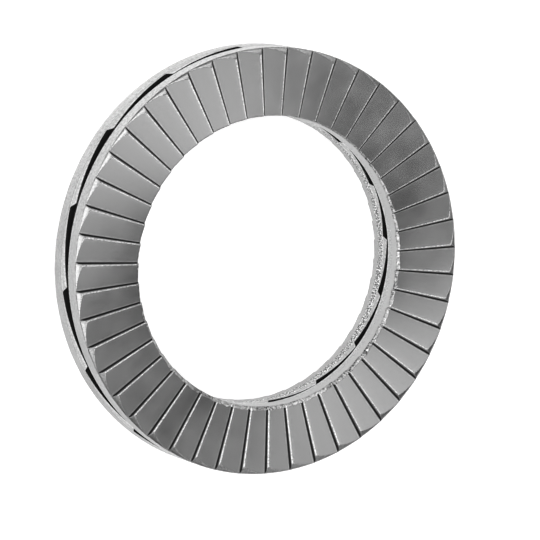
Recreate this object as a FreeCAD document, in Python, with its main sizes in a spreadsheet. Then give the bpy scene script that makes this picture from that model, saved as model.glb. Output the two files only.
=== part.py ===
import FreeCAD, Part
import os
import Sketcher

# Wedge lock washer pair.
#
# Two identical washers lie face to face.  Each has a ring of radial saw teeth on
# its outer face and a ring of shallow saw-tooth cams on its inner face.  The
# lower washer is the upper one turned over.  The upper washer is turned a part of
# one cam back from its seat, so that it has climbed the ramps and rests on their
# high ends, with a wedge-shaped gap under the rest of each cam.
#
# Frame: millimetres, axis of the bore along +Z, origin at the middle of the
# underside, on the plane of the lower tooth crests.

V = FreeCAD.Vector
os.makedirs("parts", exist_ok=True)
doc = FreeCAD.newDocument("WedgeLockWasher")

# Driving sizes, in millimetres and degrees

SIZES = [
    ("outer_diameter", 55.0),       # rim of both washers
    ("bore_diameter", 37.4),        # hole for the bolt
    ("washer_thickness", 3.36),     # one washer, tooth crest to cam crest
    ("tooth_count", 47),            # radial saw teeth on the outer face
    ("tooth_depth", 0.28),          # crest to root of a tooth
    ("tooth_steep_share", 0.08),    # share of a pitch taken by the steep side
    ("tooth_phase", 1.96),          # first tooth root, from the first cam step
    ("cam_count", 16),              # saw-tooth cams on the inner face
    ("cam_rise", 1.0),              # foot to crest of a cam, at the rim
    ("cam_steep_share", 0.06),      # share of a cam taken by its step
    ("rim_bevel_width", 0.95),      # radial width of the bevel round the tooth ends
    ("rim_bevel_depth", 0.35),      # how far that bevel runs down the rim
    ("bevel_knee", 0.25),           # where the bevel turns down, as a share of its width
    ("cam_bevel_width", 0.34),      # radial width of the slope at both ends of a cam
    ("cam_bevel_depth", 1.1),       # height of that slope at the rim, from the cam crests
    ("climb_angle", 17.5),          # upper washer turned back from its seat
    ("cam_clearance", 0.02),        # left between the ramps that meet
    ("lower_step_angle", 8.9),      # where the first lower cam step stands
]

sheet = doc.addObject("Spreadsheet::Sheet", "Sizes")
for row, (name, value) in enumerate(SIZES, start=1):
    sheet.set("A%d" % row, name)
    sheet.set("B%d" % row, str(value))
    sheet.setAlias("B%d" % row, name)

# Sizes that follow from the driving ones

DERIVED = [
    ("outer_radius", "=outer_diameter / 2"),
    ("bore_radius", "=bore_diameter / 2"),
    ("tooth_pitch", "=360 / tooth_count"),
    ("cam_pitch", "=360 / cam_count"),
    ("ramp_angle", "=cam_pitch * (1 - cam_steep_share)"),
    ("step_angle", "=cam_pitch * cam_steep_share"),
    ("bore_bevel_depth", "=cam_bevel_depth * bore_radius / outer_radius"),
    ("inner_rise", "=cam_rise * (bore_radius + cam_bevel_width) / outer_radius"),
    ("climb_left", "=cos(climb_angle * 1 deg) - sin(climb_angle * 1 deg) / tan(ramp_angle * 1 deg)"),
    ("cutter_inner", "=bore_radius * 0.9"),
    ("cutter_outer", "=outer_radius * 1.06"),
    ("cut_overrun", "=1 + 0.15"),
    ("upper_height", "=washer_thickness - inner_rise * climb_left + cam_clearance"),
    ("upper_turn", "=lower_step_angle - step_angle + climb_angle - 90"),
    ("lower_turn", "=lower_step_angle + 90"),
]
for row, (name, formula) in enumerate(DERIVED, start=len(SIZES) + 1):
    sheet.set("A%d" % row, name)
    sheet.set("B%d" % row, formula)
    sheet.setAlias("B%d" % row, name)
doc.recompute()


def origin_part(body, role):
    """The plane or axis of the body's own origin that has this role."""
    for item in body.Origin.OriginFeatures:
        if item.Role == role:
            return item
    raise ValueError(role)


def sheet_value(formula):
    """Present value of a formula written with the sheet's names."""
    return float(sheet.evalExpression(formula))


def polygon(body, name, corners, out=None):
    """Closed sketch on the body's XZ plane.

    corners is a list of (x, z) formulas.  out, where given, is the formula of
    the distance by which the sketch stands out along +Y.
    """
    sketch = body.newObject("Sketcher::SketchObject", name)
    sketch.AttachmentSupport = [(origin_part(body, "XZ_Plane"), "")]
    sketch.MapMode = "FlatFace"
    if out:
        sketch.setExpression("AttachmentOffset.Base.z", "-(%s)" % out)
    points = [V(sheet_value(x), sheet_value(z), 0) for x, z in corners]
    count = len(points)
    for i in range(count):
        sketch.addGeometry(Part.LineSegment(points[i], points[(i + 1) % count]), False)
    for i in range(count):
        sketch.addConstraint(Sketcher.Constraint("Coincident", i, 2, (i + 1) % count, 1))
    for i, (x, z) in enumerate(corners):
        for kind, formula, value in (("X", x, points[i].x), ("Y", z, points[i].y)):
            index = sketch.addConstraint(Sketcher.Constraint("Distance" + kind, -1, 1, i, 1, value))
            sketch.renameConstraint(index, "%s%d" % (kind.lower(), i))
            sketch.setExpression("Constraints.%s%d" % (kind.lower(), i), formula)
    return sketch


def saw_cut(body, name, foot, crest, count):
    """One V-shaped cut between radial lines, repeated round the axis.

    foot is the (angle, height) of the line at the bottom of the cut.  crest is
    the (angle of the steep side, angle of the gentle side, height) of the two
    lines where the cut leaves the washer.  Angles run counter-clockwise from
    +Y, seen from +Z.  Both sides run on past the crests by the overrun.  A
    height may name RADIUS, the distance of the section from the axis.
    """
    foot_angle, foot_height = foot
    steep_angle, gentle_angle, crest_height = crest
    run = "(%s) + ((%s) - (%s)) * Sizes.cut_overrun"
    sections = []
    for tag, radius in (("Inner", "Sizes.cutter_inner"), ("Outer", "Sizes.cutter_outer")):
        foot_x = "-%s * tan(%s * 1 deg)" % (radius, foot_angle)
        foot_z = foot_height.replace("RADIUS", radius)
        corners = [(foot_x, foot_z)]
        for angle in (steep_angle, gentle_angle):
            crest_x = "-%s * tan((%s) * 1 deg)" % (radius, angle)
            corners.append((run % (foot_x, crest_x, foot_x), run % (foot_z, crest_height, foot_z)))
        sections.append(polygon(body, name + tag, corners, radius))
    cut = body.newObject("PartDesign::SubtractiveLoft", name)
    cut.Profile = sections[0]
    cut.Sections = [sections[1]]
    cut.Ruled = True
    cut.Refine = False
    doc.recompute()
    pattern = body.newObject("PartDesign::PolarPattern", name + "Ring")
    pattern.Originals = [cut]
    pattern.Axis = (origin_part(body, "Z_Axis"), [""])
    pattern.Angle = 360
    pattern.setExpression("Occurrences", count)
    pattern.Refine = False
    body.Tip = pattern
    doc.recompute()
    return pattern


def washer(label):
    """One washer, teeth up, its cam crests on z = 0 and a cam step on +Y."""
    body = doc.addObject("PartDesign::Body", label)
    body.Label = label
    top = "Sizes.washer_thickness"
    rim = "Sizes.outer_radius"
    bore = "Sizes.bore_radius"
    slope = "Sizes.cam_bevel_width"
    profile = polygon(body, "RingProfile", [
        ("%s + %s" % (bore, slope), "0"),
        ("%s - %s" % (rim, slope), "0"),
        (rim, "Sizes.cam_bevel_depth"),
        (rim, "%s - Sizes.rim_bevel_depth" % top),
        ("%s - Sizes.rim_bevel_width * Sizes.bevel_knee" % rim,
         "%s - Sizes.rim_bevel_depth * (1 - sqrt(1 - (1 - Sizes.bevel_knee)^2))" % top),
        ("%s - Sizes.rim_bevel_width" % rim, top),
        (bore, top),
        (bore, "Sizes.bore_bevel_depth"),
    ])
    ring = body.newObject("PartDesign::Revolution", "Ring")
    ring.Profile = profile
    ring.ReferenceAxis = (origin_part(body, "Z_Axis"), [""])
    ring.Angle = 360
    ring.Refine = False
    body.Tip = ring
    doc.recompute()

    # Teeth: the gentle land falls counter-clockwise to the root, the steep side
    # climbs from there to the next crest.
    saw_cut(
        body, "Teeth",
        ("Sizes.tooth_phase", top + " - Sizes.tooth_depth"),
        ("Sizes.tooth_phase + Sizes.tooth_pitch * Sizes.tooth_steep_share",
         "Sizes.tooth_phase - Sizes.tooth_pitch * (1 - Sizes.tooth_steep_share)",
         top),
        "Sizes.tooth_count",
    )

    # Cams: the same saw form on the underside, coarser, with its foot inside
    # the washer and its crests on z = 0.  Each ramp is a plane through the axis
    # at crest height, so the cams are deepest at the rim.
    saw_cut(
        body, "Cams",
        ("0", "Sizes.cam_rise * RADIUS / Sizes.outer_radius"),
        ("Sizes.step_angle", "-Sizes.ramp_angle", "0"),
        "Sizes.cam_count",
    )
    return body


upper = washer("upper_washer")
upper.setExpression("Placement.Base.z", "Sizes.upper_height")
upper.setExpression("Placement.Rotation.Angle", "Sizes.upper_turn")
doc.recompute()

# The lower washer is the same piece turned over about an axis that lies in the
# XY plane, so that its cams face up under the cams of the upper one.
lower = washer("lower_washer")
lower.setExpression("Placement.Base.z", "Sizes.washer_thickness")
lower.setExpression("Placement.Rotation.Axis.x", "cos(Sizes.lower_turn / 2 * 1 deg)")
lower.setExpression("Placement.Rotation.Axis.y", "sin(Sizes.lower_turn / 2 * 1 deg)")
lower.setExpression("Placement.Rotation.Axis.z", "0")
lower.setExpression("Placement.Rotation.Angle", "180")
doc.recompute()
doc.recompute()

for item in doc.Objects:
    if "Invalid" in item.State or "Error" in item.State:
        raise RuntimeError("%s failed: %s" % (item.Name, item.State))
for body in (upper, lower):
    shape = body.Shape
    if shape.isNull() or not shape.isValid() or len(shape.Solids) != 1:
        raise RuntimeError("%s has no sound solid" % body.Label)
for body in (upper, lower):
    body.Shape.exportStep("parts/%s.step" % body.Label)
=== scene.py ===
import bpy
import math
import numpy as np
from mathutils import Matrix, Vector


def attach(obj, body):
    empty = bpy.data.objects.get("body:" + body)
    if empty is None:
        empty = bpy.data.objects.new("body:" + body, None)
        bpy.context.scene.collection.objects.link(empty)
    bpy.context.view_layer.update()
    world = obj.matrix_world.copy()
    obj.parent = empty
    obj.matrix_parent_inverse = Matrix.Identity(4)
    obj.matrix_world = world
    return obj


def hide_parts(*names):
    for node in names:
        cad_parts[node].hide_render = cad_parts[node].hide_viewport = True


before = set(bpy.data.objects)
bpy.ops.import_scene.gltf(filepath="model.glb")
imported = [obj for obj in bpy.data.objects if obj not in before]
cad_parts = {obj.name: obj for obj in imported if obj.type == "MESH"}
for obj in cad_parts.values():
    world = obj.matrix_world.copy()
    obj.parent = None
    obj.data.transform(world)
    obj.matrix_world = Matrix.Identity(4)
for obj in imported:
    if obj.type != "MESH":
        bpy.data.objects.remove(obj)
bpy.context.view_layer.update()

MM = 0.001

# Sizes of one washer, in millimetres and degrees

RIM = 27.5              # radius of the rim
BORE = 18.7             # radius of the bore
THICK = 3.36            # tooth crest to cam crest
TEETH = 47
TOOTH_DEPTH = 0.28      # crest to root
TOOTH_STEEP = 0.08      # share of a pitch taken by the steep side
TOOTH_PHASE = 1.96      # first tooth root, from the first cam step
CAMS = 16
CAM_RISE = 1.0          # foot to crest, at the rim
CAM_STEEP = 0.06        # share of a cam taken by its step
BEVEL_WIDTH = 0.95      # bevel round the tooth ends
BEVEL_DEPTH = 0.35
SLOPE_WIDTH = 0.34      # slope at both ends of a cam
SLOPE_DEPTH = 1.1       # height of that slope at the rim
CLIMB = 17.5            # upper washer turned back from its seat
CLEARANCE = 0.02        # left between the ramps that meet
LOWER_STEP = 8.9        # where the first lower cam step stands

TOOTH_PITCH = 360.0 / TEETH
CAM_PITCH = 360.0 / CAMS
RAMP = CAM_PITCH * (1 - CAM_STEEP)
STEP = CAM_PITCH * CAM_STEEP
CLIMB_LEFT = (math.cos(math.radians(CLIMB))
              - math.sin(math.radians(CLIMB)) / math.tan(math.radians(RAMP)))
UPPER_Z = THICK - CAM_RISE * (BORE + SLOPE_WIDTH) / RIM * CLIMB_LEFT + CLEARANCE
UPPER_TURN = LOWER_STEP - STEP + CLIMB - 90
LOWER_TURN = LOWER_STEP + 90

# Fine forms of the mesh, in millimetres or shares of a pitch

TOOTH_SOFT = 0.022      # half width of a softened tooth corner, share of a pitch
CORNER = 0.012          # how far a wall's softened corner is set in
WALL_TOP = 0.07         # the rim wall starts this far under its upper corner
WALL_FOOT = 0.05        # walls end this far above the sloped cam ends
CAM_PAINTED_SHADE = 0.97        # painted shade in the gap between the cams, nearly black
WIDEST_BURR = 265       # where the torn inner edge is widest, in degrees round the washer
BRIGHTEST_BURR = 235    # and where it shines most
PAINTED_SHEEN_SIDE = 112       # degrees from +X, where the painted sheen on the rims is strongest

# Zones of a washer, in the order of its material slots

LAND, EDGE, SIDE, CAM, WALL, LIP = range(6)

# Rings on a sloped cam end, from the wall inwards: share of the way, painted shade, painted
# highlight

SLOPE_RINGS = ((0.3, 0, 0.2), (0.55, 0, 0.4), (0.78, 0, 0.95), (0.88, 0.9, 0))


def smooth_noise(rng, count, octaves):
    """Closed random curve of that many samples, about -1 to 1."""
    t = np.linspace(0, 2 * np.pi, count, endpoint=False)
    out = np.zeros(count)
    for waves, gain in octaves:
        for k in range(waves // 2, waves + waves // 2 + 1, max(1, waves // 6)):
            out += gain * rng.normal() * np.cos(k * t + rng.uniform(0, 2 * np.pi))
    return out / (np.abs(out).max() + 1e-9)


def saw(share, c, soft):
    """Depth under the crest, 0 to 1, at the place c in a pitch, corners softened."""
    total = np.zeros_like(c)
    offsets = np.linspace(-soft, soft, 9)
    for off in offsets:
        u = np.mod(c + off, 1.0)
        total += np.where(u < share, 1 - u / share, (u - share) / (1 - share))
    return total / len(offsets)


def columns():
    """Angles at which the ring is cut, denser at the tooth and cam corners."""
    tooth = [-0.14, -0.09, -0.055, -0.036, -0.02, -0.004, 0.012, 0.028, 0.044, 0.062, 0.078,
             0.094, 0.11, 0.13, 0.16, 0.21, 0.3, 0.42, 0.56, 0.72, 0.8]
    cam = [-0.02, -0.01, 0.0, 0.01, 0.02, 0.04, 0.05, 0.06, 0.07, 0.08]
    angles = [TOOTH_PHASE + (n + c) * TOOTH_PITCH for n in range(TEETH) for c in tooth]
    angles += [(n + c) * CAM_PITCH for n in range(CAMS) for c in cam]
    angles = sorted(a % 360 for a in angles)
    kept = [angles[0]]
    for a in angles[1:]:
        if a - kept[-1] > 0.05:
            kept.append(a)
    return np.array(kept)


def ramp_depth(c):
    """Depth of the cam surface under its crest plane at the rim, at the place c in a cam."""
    out = np.zeros_like(c)
    offsets = (-0.008, -0.004, 0.0, 0.004, 0.008)
    for off in offsets:
        u = np.mod(c + off, 1.0)
        turn = np.radians(np.where(u < CAM_STEEP, u, 1 - u) * CAM_PITCH)
        reach = np.radians(np.where(u < CAM_STEEP, STEP, RAMP))
        out += CAM_RISE * (np.cos(turn) - np.sin(turn) / np.tan(reach)) / len(offsets)
    return np.maximum(out, 0)


def bevel(r):
    """Drop of the edge round the tooth ends, part cone and part round."""
    u = np.clip((r - (RIM - BEVEL_WIDTH)) / BEVEL_WIDTH, 0, 1)
    return BEVEL_DEPTH * (0.35 * u + 0.65 * (1 - np.sqrt(1 - u * u)))


def between(count):
    """Even shares of the way from 0 to 1, without the ends."""
    return np.linspace(0, 1, count + 1)[1:-1]


def ring_mesh(name, a, rows):
    """Closed mesh through rings of points.

    a holds the angles, in degrees from +Y.  A row holds the radius, height,
    the lightening where worn and by painted highlight, the darkening where grimy and by painted
    shade, and the level at each angle, and the zone of the faces after it.
    """
    m, n = len(rows), len(a)
    t = np.radians(a + 90)
    co = np.zeros((m, n, 3))
    extra = np.zeros((3, m, n))
    zones = []
    for i, (r, z, wear_and_painted_highlight, grime_and_painted_shade, level, zone) in enumerate(rows):
        co[i, :, 0] = r * np.cos(t)
        co[i, :, 1] = r * np.sin(t)
        co[i, :, 2] = z
        extra[:, i, :] = wear_and_painted_highlight, grime_and_painted_shade, level
        zones.append(zone)
    i, j = np.meshgrid(np.arange(m), np.arange(n), indexing="ij")
    i2, j2 = (i + 1) % m, (j + 1) % n
    faces = np.stack([i * n + j, i2 * n + j, i2 * n + j2, i * n + j2], -1).reshape(-1, 4)
    mesh = bpy.data.meshes.new(name)
    mesh.from_pydata((co.reshape(-1, 3) * MM).tolist(), [], faces.tolist())
    mesh.polygons.foreach_set("material_index", np.repeat(np.array(zones), n).astype(np.int32))
    mesh.polygons.foreach_set("use_smooth", np.ones(len(faces), bool))
    for key, values in zip(("wear_and_painted_highlight", "grime_and_painted_shade", "level"), extra):
        layer = mesh.attributes.new(key, "FLOAT", "POINT")
        layer.data.foreach_set("value", np.clip(values, 0, 1).reshape(-1).astype(np.float32))
    mesh.update()
    return mesh


def washer(name, seed, shade, sheen_side):
    """One washer, teeth up, its cam crests on z = 0 and a cam step on +Y.

    shade is how much painted shade darkens the sloped cam ends, more on the washer that faces
    down; it also sets which washer gets a painted highlight and which painted shade at the foot
    of the rim and at the cam corners.
    The last argument is the angle of the side where the painted sheen makes the rim lightest.

    Three values go with each point: one makes the coat lighter where it is worn and where a
    highlight is painted, one makes it darker where it is grimy and where shade is painted, and
    level, 0 at the cam face and 1 at the teeth.
    """
    rng = np.random.default_rng(seed)
    a = columns()
    n = len(a)

    def at(curve):
        return np.interp(a, np.linspace(0, 360, len(curve), endpoint=False), curve, period=360)

    c = np.mod((a - TOOTH_PHASE) / TOOTH_PITCH, 1.0)
    tooth = TOOTH_DEPTH * saw(TOOTH_STEEP, c, TOOTH_SOFT)
    cam = ramp_depth(a / CAM_PITCH)
    wave = at(smooth_noise(rng, 2000, [(60, 1.0), (200, 0.7)]))
    burr = at(smooth_noise(rng, 3000, [(150, 0.8), (420, 1.0)]))

    # Along the crest: worn, with a painted highlight that fades down the land, and a thin painted
    # highlight line just before the next root.
    # At the root: painted shade over the steep side, deepening down the land towards the root
    on_land = c >= TOOTH_STEEP
    away = np.abs(c - TOOTH_STEEP)
    crest = 0.8 * np.exp(-((c - TOOTH_STEEP - TOOTH_SOFT) / 0.028) ** 2) * (0.8 + 0.2 * burr)
    crest += np.where(on_land, 0.14 * np.exp(-away / 0.15) + 0.2 * np.exp(-away / 0.05), 0)
    crest += 0.4 * np.exp(-((c - 0.955) / 0.014) ** 2)
    # Painted shade over the steep side and deepening down the land towards the root
    root = 0.97 * np.exp(-(np.minimum(np.abs(c - 0.024), 1.024 - c) / 0.05) ** 4)
    root += np.where(on_land, 0.2 * np.exp(-(1 - c) / 0.08), 0)

    def ragged():
        """The crest marks along one ring, worn and painted highlight, uneven from tooth to tooth.
        """
        return crest * (1 + 0.4 * at(smooth_noise(rng, 1200, [(150, 1.0)])))

    # Height of the teeth, and the radius where they run into the bevel
    land = THICK - tooth
    reach = np.linspace(RIM - BEVEL_WIDTH, RIM, 400)
    cross = np.minimum(np.interp(tooth, bevel(reach), reach), RIM - 0.07)

    def top(r):
        return np.minimum(land, THICK - bevel(r))

    rows = []

    def add(r, z, zone, wear_and_painted_highlight=0.0, grime_and_painted_shade=0.0, level=1.0):
        values = [np.broadcast_to(np.asarray(v, float), (n,)) for v in (r, z, wear_and_painted_highlight, grime_and_painted_shade, level)]
        rows.append(values + [zone])

    # Torn inner edge
    spread = np.clip(0.5 + 0.8 * np.cos(np.radians(a - WIDEST_BURR)), 0, 1)
    shine = 0.2 + 0.3 * np.clip(np.cos(np.radians(a - BRIGHTEST_BURR)), 0, 1)
    chips = [np.clip(shine + 0.9 * at(smooth_noise(rng, 3000, [(380, 1.0)])), 0, 1)
             for _ in range(3)]
    lip = (0.13 + 0.32 * spread) * (1 + 0.35 * burr + 0.15 * wave)
    head = land - 0.24 - 0.05 * burr
    add(BORE, head, LIP, 0.1, 0.1)
    add(BORE + 0.15 * lip, land - 0.13, LIP, chips[0], 0.15)
    add(BORE + 0.5 * lip, land - 0.05, LIP, chips[1], 0.1)
    add(BORE + 0.92 * lip, land - 0.012, LIP, chips[2], 0)

    # Land of the teeth
    inner = BORE + lip
    outer = cross - 0.06
    add(inner, land, LAND, crest, root)
    add(inner + 0.06, land, LAND, crest, root)
    for k in between(17):
        add(inner + (outer - inner) * k, land, LAND, ragged(), root)
    add(outer - 0.05, land, LAND, crest, root)

    # Bevel round the tooth ends
    add(outer, land, EDGE, crest, root)
    # Where the teeth run into the bevel: a worn edge with a painted highlight line, a fainter
    # painted highlight over the bevel, and the painted shade of the roots fading over it
    add(cross, top(cross) - 0.004, EDGE, 0.75, root * 0.6)
    for share, wear_and_painted_highlight, root_shade_share in ((0.18, 0.12, 0.5), (0.5, 0.15, 0.4), (0.8, 0.15, 0.3)):
        r = cross + (RIM - cross) * share
        add(r, top(r), EDGE, wear_and_painted_highlight, root * root_shade_share)

    # Rim: its wall stops at an even height
    shoulder = top(np.full(n, RIM - 0.01))
    # Painted sheen: the rim is made lighter towards one side of the scene, as if lit from there
    sheen = 0.34 * np.clip(np.cos(np.radians(a - sheen_side)), 0, 1) ** 2
    foot = np.full(n, SLOPE_DEPTH)
    add(RIM - CORNER, shoulder - 0.02, SIDE, 0.35 + 0.2 * burr, 0)
    add(RIM, shoulder - WALL_TOP, SIDE, 0.1 + sheen, 0, 0.97)
    for k in between(8):
        z = shoulder - WALL_TOP + (foot + WALL_FOOT - shoulder + WALL_TOP) * k
        add(RIM, z, SIDE, sheen, 0, 0.97 - 0.94 * k)
    # At the foot of the wall, by the gap: a painted highlight on the washer that faces down,
    # painted shade on the other
    add(RIM, foot + 0.12, SIDE, 0.2 * shade + sheen, 0, 0.05)
    add(RIM, foot + WALL_FOOT, SIDE, (0.75 + 0.25 * burr) * shade, 0.6 - 0.6 * shade, 0.03)

    # Cam ends slope in from both walls to the cams
    meet = SLOPE_WIDTH * (1 - cam / SLOPE_DEPTH)
    low = SLOPE_DEPTH * BORE / RIM

    def slope(gap, depth):
        return depth * (1 - gap / SLOPE_WIDTH)

    def slope_rings(edge, inwards, depth, rings):
        for k, dark, slope_highlight in rings:
            dim = np.maximum(shade, dark)
            wear_and_painted_highlight = slope_highlight * (0.8 + 0.2 * burr) * (1 - dim)
            add(edge + inwards * (meet * k), slope(meet * k, depth), CAM, wear_and_painted_highlight, dim, 0)

    # The washer that faces down gets painted shade on its sloped cam ends; the other gets painted
    # highlights on them and painted shade where they meet the gap
    add(RIM - CORNER, foot - 0.02, CAM, (0.5 + 0.3 * burr) * (1 - shade), shade, 0)
    slope_rings(RIM, -1, SLOPE_DEPTH, SLOPE_RINGS)
    # Painted shade, nearly black and without metal shine, over the cam faces in the gap between
    # the washers
    add(RIM - meet, slope(meet, SLOPE_DEPTH) + 0.01, CAM, 0, CAM_PAINTED_SHADE, 0)
    first = RIM - meet - 0.06
    last = BORE + meet + 0.06
    add(first, cam * first / RIM, CAM, 0, CAM_PAINTED_SHADE, 0)
    for k in between(7):
        r = first + (last - first) * k
        add(r, cam * r / RIM, CAM, 0, CAM_PAINTED_SHADE, 0)
    add(last, cam * last / RIM, CAM, 0, CAM_PAINTED_SHADE, 0)
    add(BORE + meet, slope(meet, low) + 0.01, CAM, 0, CAM_PAINTED_SHADE, 0)
    slope_rings(BORE, 1, low, SLOPE_RINGS[::-1])

    # Wall of the bore, back up to the torn edge
    # At the corner of the bore: painted shade on the washer that faces down, a painted highlight
    # on the other
    add(BORE + CORNER, low - 0.02, WALL, (0.5 + 0.3 * burr) * (1 - shade), shade, 0)
    add(BORE, low + WALL_FOOT, WALL, 0.5 + 0.3 * burr, 0, 0.03)
    for k in between(8):
        add(BORE, low + WALL_FOOT + (head - low - WALL_FOOT) * k, WALL, 0, 0, 0.03 + 0.94 * k)

    obj = bpy.data.objects.new(name, ring_mesh(name, a, rows))
    bpy.context.scene.collection.objects.link(obj)
    mod = obj.modifiers.new("Flats", "WEIGHTED_NORMAL")
    mod.weight = 80
    return obj


# Materials

GRAIN_RADIUS = 23.0     # where the grain of a wall is laid out, in millimetres
TORN_BELOW = 0.62       # the level under which a punched wall is torn
SPECKLE_MIDDLE = 0.515  # middle of the noise behind the speckle
WORN_AND_HIGHLIGHT_TONE = 0.95             # tone of steel worn through, which painted highlights also reach
DARKEST = 0.004         # darkest tone, reached where the painted shade is deepest


def maths(tree, op, a, b=None, clamp=False):
    """Output of a maths node on two values, each a number or another output."""
    item = tree.nodes.new("ShaderNodeMath")
    item.operation = op
    item.use_clamp = clamp
    for k, value in enumerate((a, b)):
        if value is None:
            continue
        if isinstance(value, (int, float)):
            item.inputs[k].default_value = value
        else:
            tree.links.new(value, item.inputs[k])
    return item.outputs[0]


def steel(name, tone, rough, grain, blotch, bump, polar=False, torn=0.0):
    """Grey coated steel with fine grain and soft blotches.

    It is lighter where worn and where a highlight is painted, and darker where grimy and where
    shade is painted.  polar lays the grain along the wall of a ring.  torn gives the speckled
    break of a punched wall, which fades out towards the teeth.
    """
    mat = bpy.data.materials.new(name)
    mat.use_nodes = True
    tree = mat.node_tree
    tree.nodes.clear()
    link = tree.links.new
    out = tree.nodes.new("ShaderNodeOutputMaterial")
    bsdf = tree.nodes.new("ShaderNodeBsdfPrincipled")
    link(bsdf.outputs[0], out.inputs[0])

    def add(a, b):
        return maths(tree, "ADD", a, b)

    def take(a, b):
        return maths(tree, "SUBTRACT", a, b)

    def times(a, b, clamp=False):
        return maths(tree, "MULTIPLY", a, b, clamp)

    def layer(key):
        item = tree.nodes.new("ShaderNodeAttribute")
        item.attribute_name = key
        return item.outputs["Fac"]

    wear_and_painted_highlight, grime_and_painted_shade, level = layer("wear_and_painted_highlight"), layer("grime_and_painted_shade"), layer("level")

    # Place on the surface, in millimetres
    place = tree.nodes.new("ShaderNodeTexCoord").outputs["Object"]
    if polar:
        split = tree.nodes.new("ShaderNodeSeparateXYZ")
        link(place, split.inputs[0])
        angle = maths(tree, "ARCTAN2", split.outputs[1], split.outputs[0])
        join = tree.nodes.new("ShaderNodeCombineXYZ")
        link(times(angle, GRAIN_RADIUS * MM), join.inputs[0])
        link(times(split.outputs[2], 0.7), join.inputs[1])
        place = join.outputs[0]
    scaled = tree.nodes.new("ShaderNodeMapping")
    scaled.inputs["Scale"].default_value = (1 / MM, 1 / MM, 1 / MM)
    link(place, scaled.inputs["Vector"])

    def noise(scale, detail, roughness):
        item = tree.nodes.new("ShaderNodeTexNoise")
        item.inputs["Scale"].default_value = scale
        item.inputs["Detail"].default_value = detail
        item.inputs["Roughness"].default_value = roughness
        link(scaled.outputs[0], item.inputs["Vector"])
        return item.outputs[0]

    fine = noise(grain, 5.0, 0.65)
    broad = noise(0.22, 3.0, 0.5)
    fine_off = take(fine, 0.5)
    broad_off = take(broad, 0.5)
    value = add(add(tone, times(broad_off, blotch)), times(fine_off, blotch))
    height = fine
    if torn:
        patches = maths(tree, "ADD", 0.6, times(broad_off, 3.0), True)
        zone = times(times(take(TORN_BELOW, level), 4.0, True), patches)
        speckle = times(take(noise(4.2, 3.0, 0.7), SPECKLE_MIDDLE), zone)
        value = add(value, times(speckle, torn * 4.0))
        height = add(times(fine, 0.4), times(speckle, 3.0 * torn))
    patchy = times(wear_and_painted_highlight, maths(tree, "ADD", 0.65, times(fine_off, 6.0), True))
    value = add(value, times(patchy, take(WORN_AND_HIGHLIGHT_TONE, value)))
    value = maths(tree, "MAXIMUM", times(value, take(1.0, grime_and_painted_shade)), DARKEST)
    grey = tree.nodes.new("ShaderNodeCombineColor")
    for k in range(3):
        link(value, grey.inputs[k])
    link(grey.outputs[0], bsdf.inputs["Base Color"])
    link(take(1.0, grime_and_painted_shade), bsdf.inputs["Metallic"])
    bsdf.inputs["Specular IOR Level"].default_value = 0.0
    gloss = add(rough, times(broad_off, 0.15))
    link(take(gloss, times(wear_and_painted_highlight, 0.08)), bsdf.inputs["Roughness"])
    relief = tree.nodes.new("ShaderNodeBump")
    relief.inputs["Strength"].default_value = bump
    relief.inputs["Distance"].default_value = 0.04 * MM
    link(height, relief.inputs["Height"])
    link(relief.outputs[0], bsdf.inputs["Normal"])
    return mat


# Name, tone, roughness, grain, blotch, bump
FACE_STEEL = steel("FaceSteel", 0.33, 0.22, 5.0, 0.09, 0.03)
BEVEL_STEEL = steel("BevelSteel", 0.24, 0.30, 5.0, 0.08, 0.08)
RIM_STEEL = steel("RimSteel", 0.34, 0.46, 3.6, 0.3, 0.6, polar=True, torn=0.12)
CAM_STEEL = steel("CamSteel", 0.36, 0.45, 4.0, 0.06, 0.3)
SMOOTH_WALL = steel("SmoothWallSteel", 0.37, 0.46, 3.0, 0.16, 0.5, polar=True, torn=0.3)
TORN_WALL = steel("TornWallSteel", 0.34, 0.46, 3.0, 0.2, 0.8, polar=True, torn=2.3)
LIP_STEEL = steel("LipSteel", 0.27, 0.5, 4.0, 1.1, 1.0)


def turned(z, angle):
    """Place at that height, turned by that angle about the bore."""
    return Matrix.Translation((0, 0, z * MM)) @ Matrix.Rotation(math.radians(angle), 4, "Z")


# Name, place, random seed of the worn marks and painted highlights, painted shade on the cam
# ends, side of the painted sheen on the rim and wall of the bore.  The lower washer is the same
# piece turned over.
WASHERS = (
    ("upper_washer", turned(UPPER_Z, UPPER_TURN),
     3, 0.95, PAINTED_SHEEN_SIDE - 90 - UPPER_TURN, SMOOTH_WALL),
    ("lower_washer", turned(THICK, LOWER_TURN) @ Matrix.Rotation(math.pi, 4, "X"),
     4, 0.05, LOWER_TURN - 90 - PAINTED_SHEEN_SIDE, TORN_WALL),
)
for name, place, seed, shade, sheen_side, wall in WASHERS:
    obj = washer(name + "_skin", seed, shade, sheen_side)
    for mat in (FACE_STEEL, BEVEL_STEEL, RIM_STEEL, CAM_STEEL, wall, LIP_STEEL):
        obj.data.materials.append(mat)
    obj.data.transform(place)
    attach(obj, "root")
    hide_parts(name)

# Floor, wide enough for low views, and glowing a little so that it shows white

bpy.ops.mesh.primitive_plane_add(size=30, location=(0, 0, 0))
floor = bpy.context.object
floor.name = "floor"
paper = bpy.data.materials.new("FloorPaper")
paper.use_nodes = True
sheet = paper.node_tree.nodes["Principled BSDF"]
sheet.inputs["Base Color"].default_value = (0.93, 0.93, 0.93, 1)
sheet.inputs["Roughness"].default_value = 0.7
sheet.inputs["Emission Color"].default_value = (1, 1, 1, 1)
sheet.inputs["Emission Strength"].default_value = 0.36
floor.data.materials.append(paper)

# Light

def facing(toward):
    """Rotation of a lamp that shines from that direction."""
    return Vector(toward).normalized().to_track_quat("Z", "Y").to_matrix().to_4x4()


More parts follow.
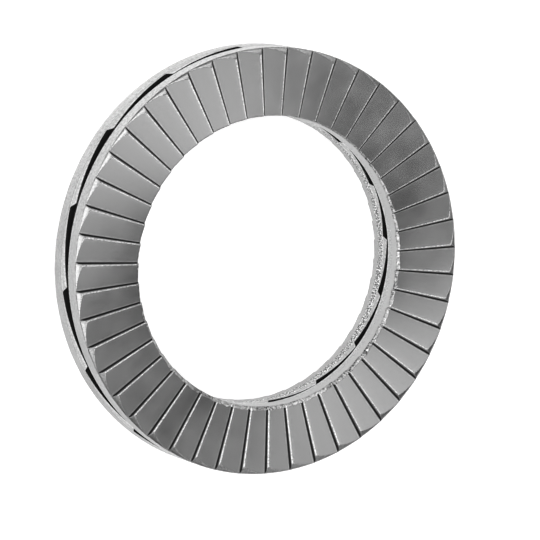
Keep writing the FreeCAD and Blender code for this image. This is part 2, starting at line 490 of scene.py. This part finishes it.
def hang(name, kind, power, matrix, **settings):
    """Lamp of that kind, placed by that matrix."""
    data = bpy.data.lights.new(name, kind)
    data.energy = power
    for key, value in settings.items():
        setattr(data, key, value)
    lamp = bpy.data.objects.new(name, data)
    bpy.context.scene.collection.objects.link(lamp)
    lamp.matrix_world = matrix


def softbox(name, toward, distance, width, height, power):
    """Area light in that direction from the washer, facing it."""
    matrix = Matrix.Translation(Vector(toward).normalized() * distance) @ facing(toward)
    hang(name, "AREA", power, matrix, shape="RECTANGLE", size=width, size_y=height)


def strip(name, start, end, distance, width, power):
    """Long softbox whose length runs between two directions."""
    a = Vector(start).normalized() * distance
    b = Vector(end).normalized() * distance
    middle = (a + b) / 2
    z = middle.normalized()
    x = (b - a).normalized()
    x = (x - z * x.dot(z)).normalized()
    turn = Matrix((x, z.cross(x), z)).transposed().to_4x4()
    matrix = Matrix.Translation(middle) @ turn
    hang(name, "AREA", power, matrix, shape="RECTANGLE", size=(b - a).length, size_y=width)


def dome(name, toward, spread, power):
    """Broad even light from that direction, as wide as that many degrees."""
    hang(name, "SUN", power, facing(toward), angle=math.radians(spread))


# The strip is mirrored in the faces of the teeth, the key and bevel light in the bevels
strip("strip", (-0.175, -0.321, 0.931), (0.900, 0.154, 0.408), 2.4, 0.432, 5.44)
dome("key", (-0.52, 0.00, 0.85), 66, 2.8)
softbox("fill_low", (0.47, -0.65, 0.60), 1.2, 0.7, 0.7, 0.9)
softbox("fill_high", (0.47, 0.60, 0.65), 1.2, 0.7, 0.7, 2.2)
softbox("bevel_light", (0.02, 0.38, 0.92), 1.2, 0.62, 0.42, 2.4)

# Surroundings: pale all round at the height of the floor, dim above
world = bpy.data.worlds.new("Studio")
bpy.context.scene.world = world
world.use_nodes = True
nodes, links = world.node_tree.nodes, world.node_tree.links
back = nodes["Background"]
back.inputs[0].default_value = (1, 1, 1, 1)
aim = nodes.new("ShaderNodeTexCoord")
part = nodes.new("ShaderNodeSeparateXYZ")
fade = nodes.new("ShaderNodeMapRange")
for key, value in (("From Min", 0.04), ("From Max", 0.12), ("To Min", 0.98), ("To Max", 0.13)):
    fade.inputs[key].default_value = value
links.new(aim.outputs["Generated"], part.inputs[0])
links.new(part.outputs[2], fade.inputs["Value"])
links.new(fade.outputs[0], back.inputs[1])

# Camera

CAMERA_PLACE = Vector((-242.394, 54.641, 453.831)) * MM
CAMERA_RIGHT = Vector((0.88075, 0.056457, 0.470205))
CAMERA_UP = Vector((0.00181, 0.99246, -0.122554))
CAMERA_BACK = Vector((-0.473578, 0.108791, 0.874007))
cam_data = bpy.data.cameras.new("camera")
cam_data.sensor_width = 36
cam_data.lens = 267.159
cam_data.clip_start = 0.01
cam_data.clip_end = 50
cam = bpy.data.objects.new("camera", cam_data)
bpy.context.scene.collection.objects.link(cam)
axes = Matrix((CAMERA_RIGHT, CAMERA_UP, CAMERA_BACK)).transposed().to_4x4()
cam.matrix_world = Matrix.Translation(CAMERA_PLACE) @ axes
bpy.context.scene.camera = cam
bpy.context.scene.view_settings.view_transform = "Standard"
